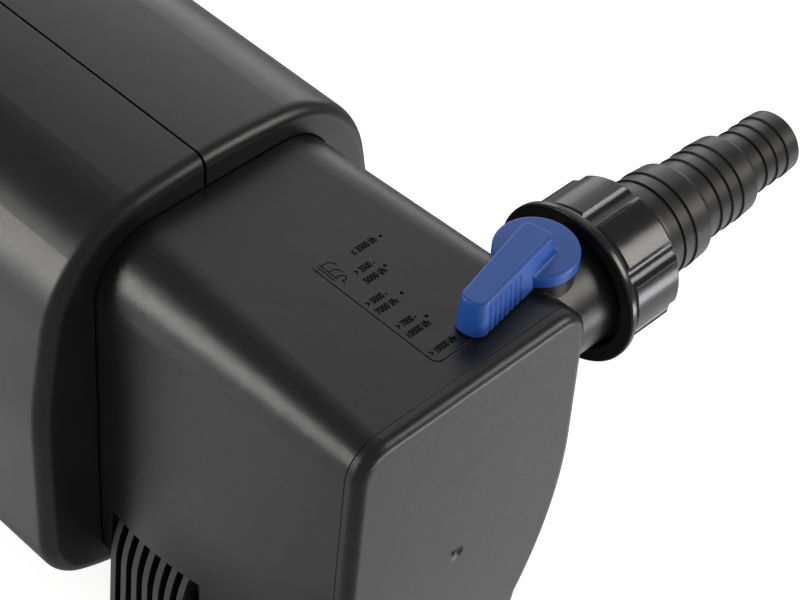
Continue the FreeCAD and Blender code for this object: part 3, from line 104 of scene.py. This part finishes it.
# Name, direction from the object, distance, size, radiance and tint. The table is
# translucent, so two of the boxes shine up through it.
SOFTBOXES = (
    ("ceiling", (-0.47, 0.60, 0.65), 1.5, (1.4, 1.12), 0.76, (0.99, 0.97, 1.0)),
    ("back_wall", (-0.66, 0.74, 0.20), 1.6, (2.4, 0.6), 1.7, (1.0, 1.0, 1.0)),
    ("key_left", (-0.47, -0.80, 0.27), 1.5, (0.35, 0.75), 11.0, (1.0, 0.985, 0.96)),
    ("left_wall", (-0.50, -0.83, -0.18), 1.4, (0.6, 1.1), 0.9, (1.0, 1.0, 1.0)),
    ("back_right", (0.71, 0.53, 0.47), 1.5, (0.4, 0.6), 8.0, (1.0, 0.96, 0.90)),
    ("right", (0.88, 0.36, -0.27), 1.4, (0.8, 0.26), 8.0, (0.97, 0.97, 1.0)),
    ("table_left", (-0.66, -0.44, -0.62), 1.2, (1.0, 0.8), 0.56, (1.0, 0.98, 1.0)),
    ("table_right", (0.42, 0.58, -0.70), 1.2, (1.0, 1.0), 0.70, (0.99, 0.97, 1.0)),
)

# The part of a noise texture's range that its values really cover
NOISE_SPAN = (0.3, 0.7)
BEVEL_SAMPLES = 4

# Size of the patches in moulded plastic, and size and depth of its waviness and lines
FLOW_PATCH = 34 * MM
SCUFF = 5 * MM
WAVE = (11 * MM, 0.10 * MM)
DRAWN_LINE = (0.5 * MM, 0.006 * MM)

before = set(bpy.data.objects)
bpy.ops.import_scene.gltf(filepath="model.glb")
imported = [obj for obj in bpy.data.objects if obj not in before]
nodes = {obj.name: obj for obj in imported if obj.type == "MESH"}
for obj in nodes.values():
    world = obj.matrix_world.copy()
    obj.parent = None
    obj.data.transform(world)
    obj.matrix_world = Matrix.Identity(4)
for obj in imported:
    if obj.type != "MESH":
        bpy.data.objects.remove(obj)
cad_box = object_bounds()
deck_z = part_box("end_cap")[1].z


class Finish:
    """One procedural material, built round its Principled shader."""

    def __init__(self, name, roughness=0.5, metallic=0.0, ior=1.5, **sockets):
        self.material = bpy.data.materials.new(name)
        self.material.use_nodes = True
        self.tree = self.material.node_tree
        self.shader = self.tree.nodes["Principled BSDF"]
        self.shader.inputs["Roughness"].default_value = roughness
        self.shader.inputs["Metallic"].default_value = metallic
        self.shader.inputs["IOR"].default_value = ior
        for socket, value in sockets.items():
            self.shader.inputs[socket.replace("_", " ")].default_value = value
        self.place = self.tree.nodes.new("ShaderNodeTexCoord").outputs["Object"]

    def link(self, value, socket):
        """Wires an output into a socket, or sets the socket to a plain value."""
        if isinstance(value, bpy.types.NodeSocket):
            self.tree.links.new(value, socket)
        else:
            socket.default_value = value

    def stretched(self, stretch):
        """Object coordinates scaled by a factor along each axis."""
        mapping = self.tree.nodes.new("ShaderNodeMapping")
        mapping.inputs["Scale"].default_value = stretch
        self.link(self.place, mapping.inputs["Vector"])
        return mapping.outputs["Vector"]

    def noise(self, size, detail=2.0, rough=0.5, stretch=None):
        """Cloudy values whose patches are about size metres across."""
        texture = self.tree.nodes.new("ShaderNodeTexNoise")
        texture.inputs["Scale"].default_value = 1.0 / size
        texture.inputs["Detail"].default_value = detail
        texture.inputs["Roughness"].default_value = rough
        place = self.stretched(stretch) if stretch else self.place
        self.link(place, texture.inputs["Vector"])
        return texture.outputs["Fac"]

    def cells(self, size):
        """Distance to scattered points about size metres apart."""
        texture = self.tree.nodes.new("ShaderNodeTexVoronoi")
        texture.inputs["Scale"].default_value = 1.0 / size
        self.link(self.place, texture.inputs["Vector"])
        return texture.outputs["Distance"]

    def remap(self, value, low, high, to_low, to_high):
        node = self.tree.nodes.new("ShaderNodeMapRange")
        self.link(value, node.inputs["Value"])
        ends = (("From Min", low), ("From Max", high), ("To Min", to_low), ("To Max", to_high))
        for socket, end in ends:
            node.inputs[socket].default_value = end
        return node.outputs["Result"]

    def spread(self, noise, to_low, to_high):
        """A noise's usual values, laid out from to_low to to_high."""
        return self.remap(noise, *NOISE_SPAN, to_low, to_high)

    def maths(self, operation, first, second):
        node = self.tree.nodes.new("ShaderNodeMath")
        node.operation = operation
        self.link(first, node.inputs[0])
        self.link(second, node.inputs[1])
        return node.outputs["Value"]

    def blend(self, share, first, second):
        """Colour between first and second."""
        node = self.tree.nodes.new("ShaderNodeMix")
        node.data_type = "RGBA"
        self.link(share, node.inputs["Factor"])
        for socket, colour in (("A", first), ("B", second)):
            found = [i for i in node.inputs if i.name == socket and i.type == "RGBA"][0]
            self.link(colour, found)
        return [o for o in node.outputs if o.type == "RGBA"][0]

    def soft_edges(self, radius):
        """Normals rounded over sharp edges."""
        node = self.tree.nodes.new("ShaderNodeBevel")
        node.samples = BEVEL_SAMPLES
        node.inputs["Radius"].default_value = radius
        return node.outputs["Normal"]

    def bump(self, height, depth, normal=None):
        """Adds relief of about depth metres, on top of the given normal."""
        node = self.tree.nodes.new("ShaderNodeBump")
        node.inputs["Strength"].default_value = 1.0
        node.inputs["Distance"].default_value = depth
        self.link(height, node.inputs["Height"])
        if normal is not None:
            self.link(normal, node.inputs["Normal"])
        return node.outputs["Normal"]

    def set(self, socket, value):
        self.link(value, self.shader.inputs[socket])
        return self


def rgb(red, green, blue):
    return (red, green, blue, 1.0)


def moulded(name, dark, light, smooth, rough, grain, grain_depth, edge=0.35 * MM, lines=None):
    """Injection-moulded plastic: spark-eroded grain, faint flow patches, a few scuffs."""
    finish = Finish(name)
    fine = finish.noise(grain, detail=3.0, rough=0.65)
    patches = finish.noise(FLOW_PATCH, detail=3.0)
    scuffs = finish.remap(finish.noise(SCUFF, 4.0, 0.7, (1.0, 0.16, 0.5)), 0.62, 0.72, 0.0, 1.0)
    shade = finish.maths("MULTIPLY_ADD", fine, 0.45)
    finish.link(finish.spread(patches, 0.0, 0.5), shade.node.inputs[2])
    finish.set("Base Color", finish.blend(shade, dark, light))
    gloss = finish.spread(fine, smooth, rough)
    gloss = finish.maths("ADD", gloss, finish.spread(patches, -0.02, 0.02))
    gloss = finish.maths("ADD", gloss, finish.remap(scuffs, 0.0, 1.0, 0.0, 0.05))
    finish.set("Roughness", gloss)
    normal = finish.soft_edges(edge)
    normal = finish.bump(finish.noise(WAVE[0], detail=1.0), WAVE[1], normal)
    if lines is not None:
        drawn = finish.noise(DRAWN_LINE[0], 1.0, 0.5, lines)
        normal = finish.bump(drawn, DRAWN_LINE[1], normal)
    normal = finish.bump(fine, grain_depth, normal)
    finish.set("Normal", normal)
    return finish.material


def brushed_steel(name):
    """Cold-headed steel: short drawn scratches and a duller film in patches."""
    finish = Finish(name, metallic=1.0)
    drawn = finish.noise(0.9 * MM, 3.0, 0.6, (0.08, 1.0, 1.0))
    film = finish.noise(6 * MM, detail=3.0)
    finish.set("Base Color", finish.blend(film, rgb(0.42, 0.42, 0.43), rgb(0.66, 0.66, 0.67)))
    finish.set("Roughness", finish.spread(drawn, 0.22, 0.42))
    finish.set("Normal", finish.bump(drawn, 0.02 * MM, finish.soft_edges(0.2 * MM)))
    return finish.material


def rubber(name):
    """Matt seal rubber with talc in patches."""
    finish = Finish(name)
    talc = finish.remap(finish.noise(3 * MM, 4.0, 0.7), 0.5, 0.75, 0.0, 1.0)
    skin = finish.noise(0.3 * MM, detail=2.0)
    finish.set("Base Color", finish.blend(talc, rgb(0.012, 0.012, 0.013), rgb(0.05, 0.05, 0.05)))
    finish.set("Roughness", finish.spread(skin, 0.68, 0.88))
    finish.set("Normal", finish.bump(skin, 0.015 * MM))
    return finish.material


def clear_glass(name, tint, haze):
    """Glass with a faint lime haze in patches."""
    finish = Finish(name, ior=1.46, Transmission_Weight=0.92)
    film = finish.noise(9 * MM, detail=4.0, rough=0.6)
    finish.set("Base Color", finish.blend(film, tint, rgb(0.93, 0.95, 0.96)))
    finish.set("Roughness", finish.remap(film, 0.4, 0.75, 0.02, haze))
    finish.set("Normal", finish.bump(finish.noise(18 * MM), 0.02 * MM))
    return finish.material


def ceramic(name):
    """Unglazed white ceramic with a speckled surface."""
    finish = Finish(name)
    speck = finish.noise(0.4 * MM, detail=3.0)
    finish.set("Base Color", finish.blend(speck, rgb(0.60, 0.57, 0.50), rgb(0.78, 0.76, 0.71)))
    finish.set("Roughness", finish.spread(speck, 0.45, 0.6))
    finish.set("Normal", finish.bump(speck, 0.02 * MM, finish.soft_edges(0.25 * MM)))
    return finish.material


def anodised(name):
    """Extruded aluminium case: drawn lines along its length."""
    finish = Finish(name, metallic=0.9)
    drawn = finish.noise(0.6 * MM, 3.0, 0.6, (0.03, 1.0, 1.0))
    finish.set("Base Color", finish.blend(drawn, rgb(0.45, 0.46, 0.47), rgb(0.63, 0.64, 0.65)))
    finish.set("Roughness", finish.spread(drawn, 0.28, 0.45))
    finish.set("Normal", finish.bump(drawn, 0.015 * MM, finish.soft_edges(0.3 * MM)))
    return finish.material


def foam(name):
    """Open-celled filter foam: pores seen as pits, with painted shade darkening their insides."""
    finish = Finish(name)
    pores = finish.cells(2.2 * MM)
    fuzz = finish.noise(0.7 * MM, detail=4.0, rough=0.7)
    depth = finish.maths("MULTIPLY", pores, fuzz)
    depth = finish.remap(depth, 0.05, 0.4, 1.0, 0.0)
    # Painted shade: the base colour darkens inside the pits, following the same depth as the bump
    finish.set("Base Color", finish.blend(depth, rgb(0.012, 0.02, 0.05), rgb(0.06, 0.10, 0.22)))
    finish.set("Roughness", finish.spread(fuzz, 0.85, 0.98))
    finish.set("Normal", finish.bump(depth, 0.7 * MM))
    return finish.material


def make_finishes():
    """Every material slot of the record, by name."""
    black = moulded("housing_plastic", rgb(0.0050, 0.0051, 0.0058), rgb(0.0092, 0.0093, 0.0103),
                    0.26, 0.36, 0.34 * MM, 0.048 * MM)
    tail = moulded("tail_plastic", rgb(0.011, 0.0108, 0.0105), rgb(0.019, 0.0185, 0.018),
                   0.30, 0.42, 0.45 * MM, 0.012 * MM, lines=(0.05, 1.0, 0.05))
    nut = moulded("nut_plastic", rgb(0.0065, 0.0065, 0.0068), rgb(0.0105, 0.0105, 0.0108),
                  0.17, 0.25, 0.8 * MM, 0.006 * MM, edge=0.5 * MM)
    lever = moulded("lever_plastic", rgb(0.013, 0.078, 0.345), rgb(0.017, 0.096, 0.410),
                    0.30, 0.42, 0.42 * MM, 0.012 * MM, edge=0.5 * MM)
    valve = moulded("valve_plastic", rgb(0.20, 0.21, 0.22), rgb(0.29, 0.30, 0.31),
                    0.42, 0.55, 0.5 * MM, 0.010 * MM)
    return {
        "housing_black": black,
        "tail_black": tail,
        "nut_gloss_black": nut,
        "lever_blue": lever,
        "valve_plastic": valve,
        "seal_rubber": rubber("seal_rubber"),
        "stainless": brushed_steel("screw_steel"),
        "quartz": clear_glass("quartz_glass", rgb(0.90, 0.93, 0.95), 0.10),
        "lamp_glass": clear_glass("lamp_glass", rgb(0.86, 0.88, 0.94), 0.06),
        "lamp_ceramic": ceramic("lamp_ceramic"),
        "ballast_case": anodised("ballast_case"),
        "filter_foam": foam("filter_foam"),
    }


def dress_nodes(finishes):
    """Gives every CAD node the finish of its slot."""
    slots_of = {name: node.data.materials[0].name for name, node in nodes.items()}
    for name, node in nodes.items():
        slot_name = slots_of[name].split(".")[0]
        node.data.materials[0] = finishes[slot_name]


def marks_and_shade_finish():
    """Dull black of the scale's lettering and pictogram, also laid as painted shade in the
    engraved line and the dimples.
    """
    finish = Finish("scale_marks_and_shade", Specular_IOR_Level=0.12)
    wear = finish.noise(1.6 * MM, detail=3.0)
    shade = finish.blend(wear, rgb(0.001, 0.001, 0.001), rgb(0.004, 0.004, 0.004))
    finish.set("Base Color", shade)
    finish.set("Roughness", finish.spread(wear, 0.72, 0.88))
    finish.set("Normal", finish.bump(finish.noise(0.2 * MM), 0.01 * MM))
    return finish.material


def add_mesh(name, source, material):
    """Turns a curve or text object into a plain mesh piece of the housing."""
    bpy.context.scene.collection.objects.link(source)
    bpy.context.view_layer.update()
    mesh = bpy.data.meshes.new_from_object(source)
    bpy.data.objects.remove(source)
    piece = bpy.data.objects.new(name, mesh)
    bpy.context.scene.collection.objects.link(piece)
    mesh.materials.clear()
    mesh.materials.append(material)
    return piece


def make_scale_row(index, middle_x, start_y, length, words, material):
    """One row of the flow scale: read along +Y, with the letters' tops towards -X."""
    curve = bpy.data.curves.new(f"scale_row_{index}", "FONT")
    curve.body = words
    curve.size = 1.0
    curve.extrude = TEXT_HALF_DEPTH
    curve.offset = LETTER_WEIGHT
    piece = add_mesh(f"scale_row_{index}", bpy.data.objects.new("row_text", curve), material)
    corners = [v.co for v in piece.data.vertices]
    left = min(c.x for c in corners)
    right = max(c.x for c in corners)
    fit = Matrix.Diagonal((length * MM / (right - left), LETTER_HEIGHT * MM / DIGIT_HEIGHT,
                           LETTER_PROUD * MM, 1.0))
    centred = Matrix.Translation((-left, -DIGIT_HEIGHT / 2, TEXT_LIFT))
    turned = Matrix.Rotation(math.radians(90.0), 4, "Z")
    place = Matrix.Translation((middle_x * MM, start_y * MM, deck_z))
    piece.data.transform(place @ turned @ fit @ centred)
    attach(piece, "housing")


def make_strokes(name, strokes, radius, height, material):
    """Thin rounded strokes on the deck, each through (x, y) points in millimetres."""
    curve = bpy.data.curves.new(name, "CURVE")
    curve.dimensions = "3D"
    curve.bevel_depth = radius * MM
    curve.bevel_resolution = 2
    for points in strokes:
        spline = curve.splines.new("NURBS")
        spline.points.add(len(points) - 1)
        for point, (x, y) in zip(spline.points, points):
            point.co = (x * MM, y * MM, deck_z + height * MM, 1.0)
        spline.order_u = STROKE_ORDER
        spline.use_endpoint_u = True
        spline.resolution_u = 8
    piece = add_mesh(name, bpy.data.objects.new(name, curve), material)
    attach(piece, "housing")


def make_dimple_shade_dots(material):
    """Painted shade: a dark dot in the bottom of each setting's dimple."""
    for index, reach in enumerate(DOT_REACH):
        angle = math.radians(DOT_FIRST_ANGLE - index * DOT_STEP_ANGLE)
        x = PIVOT[0] + reach * math.sin(angle)
        y = PIVOT[1] - reach * math.cos(angle)
        rim = []
        for step in range(DOT_SIDES):
            turn = 2 * math.pi * step / DOT_SIDES
            rim.append(((x + DOT_R * math.cos(turn)) * MM, (y + DOT_R * math.sin(turn)) * MM,
                        deck_z + DOT_HEIGHT * MM))
        mesh = bpy.data.meshes.new(f"dimple_shade_{index}")
        mesh.from_pydata([(x * MM, y * MM, deck_z + DOT_CROWN * MM)] + rim, [],
                         [(0, 1 + step, 1 + (step + 1) % DOT_SIDES) for step in range(DOT_SIDES)])
        dot = bpy.data.objects.new(f"dimple_shade_{index}", mesh)
        bpy.context.scene.collection.objects.link(dot)
        mesh.materials.append(material)
        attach(dot, "housing")


def make_floor():
    """Plain pale table that the feet stand on, left out of reflections and shadows."""
    mesh = bpy.data.meshes.new("floor")
    corners = [(x * FLOOR_HALF, y * FLOOR_HALF, 0.0)
               for x, y in ((-1, -1), (1, -1), (1, 1), (-1, 1))]
    mesh.from_pydata(corners, [], [(0, 1, 2, 3)])
    floor = bpy.data.objects.new("floor", mesh)
    bpy.context.scene.collection.objects.link(floor)
    finish = Finish("floor", roughness=0.9, Emission_Strength=FLOOR_GLOW)
    finish.set("Base Color", rgb(FLOOR_SHADE, FLOOR_SHADE, FLOOR_SHADE))
    finish.set("Emission Color", rgb(1.0, 1.0, 1.0))
    mesh.materials.append(finish.material)
    floor.visible_glossy = False
    floor.visible_shadow = False


def make_softbox(name, direction, distance, size, radiance, tint):
    """Rectangular soft light that points at the middle of the object."""
    middle = (cad_box[0] + cad_box[1]) / 2
    light = bpy.data.lights.new(name, "AREA")
    light.shape = "RECTANGLE"
    light.size, light.size_y = size
    light.energy = radiance * math.pi * size[0] * size[1]
    light.color = tint
    holder = bpy.data.objects.new(name, light)
    way = Vector(direction).normalized()
    holder.location = middle + way * distance
    holder.rotation_mode = "QUATERNION"
    holder.rotation_quaternion = (-way).to_track_quat("-Z", "Y")
    bpy.context.scene.collection.objects.link(holder)


def make_light():
    """Dim white room, with soft boxes round the object and under the table."""
    world = bpy.data.worlds.new("white_room")
    world.use_nodes = True
    background = world.node_tree.nodes["Background"]
    background.inputs["Color"].default_value = rgb(1.0, 1.0, 1.0)
    background.inputs["Strength"].default_value = WORLD_STRENGTH
    bpy.context.scene.world = world
    for softbox in SOFTBOXES:
        make_softbox(*softbox)


def make_camera():
    data = bpy.data.cameras.new("camera")
    data.sensor_width = SENSOR_MM
    data.lens = CAMERA_LENS_MM
    data.clip_start = CAMERA_CLIP
    camera = bpy.data.objects.new("camera", data)
    axes = Matrix((CAMERA_RIGHT, CAMERA_UP, CAMERA_BACK)).transposed()
    camera.matrix_world = Matrix.Translation(CAMERA_PLACE) @ axes.to_4x4()
    bpy.context.scene.collection.objects.link(camera)
    bpy.context.scene.camera = camera


dress_nodes(make_finishes())
marks_and_shade = marks_and_shade_finish()
for row_index, row in enumerate(SCALE_ROWS):
    make_scale_row(row_index, *row, marks_and_shade)
make_strokes("scale_icon", ICON_STROKES, STROKE_R, 0.0, marks_and_shade)
# Painted shade: dark fill along the bottom of the engraved edge
make_strokes("scale_edge_shade", [EDGE_STROKE], EDGE_STROKE_R, EDGE_STROKE_HEIGHT, marks_and_shade)
# Painted shade: dark discs in the bottom of the setting dimples
make_dimple_shade_dots(marks_and_shade)
make_floor()
make_light()
make_camera()
bpy.context.scene.view_settings.view_transform = "Standard"
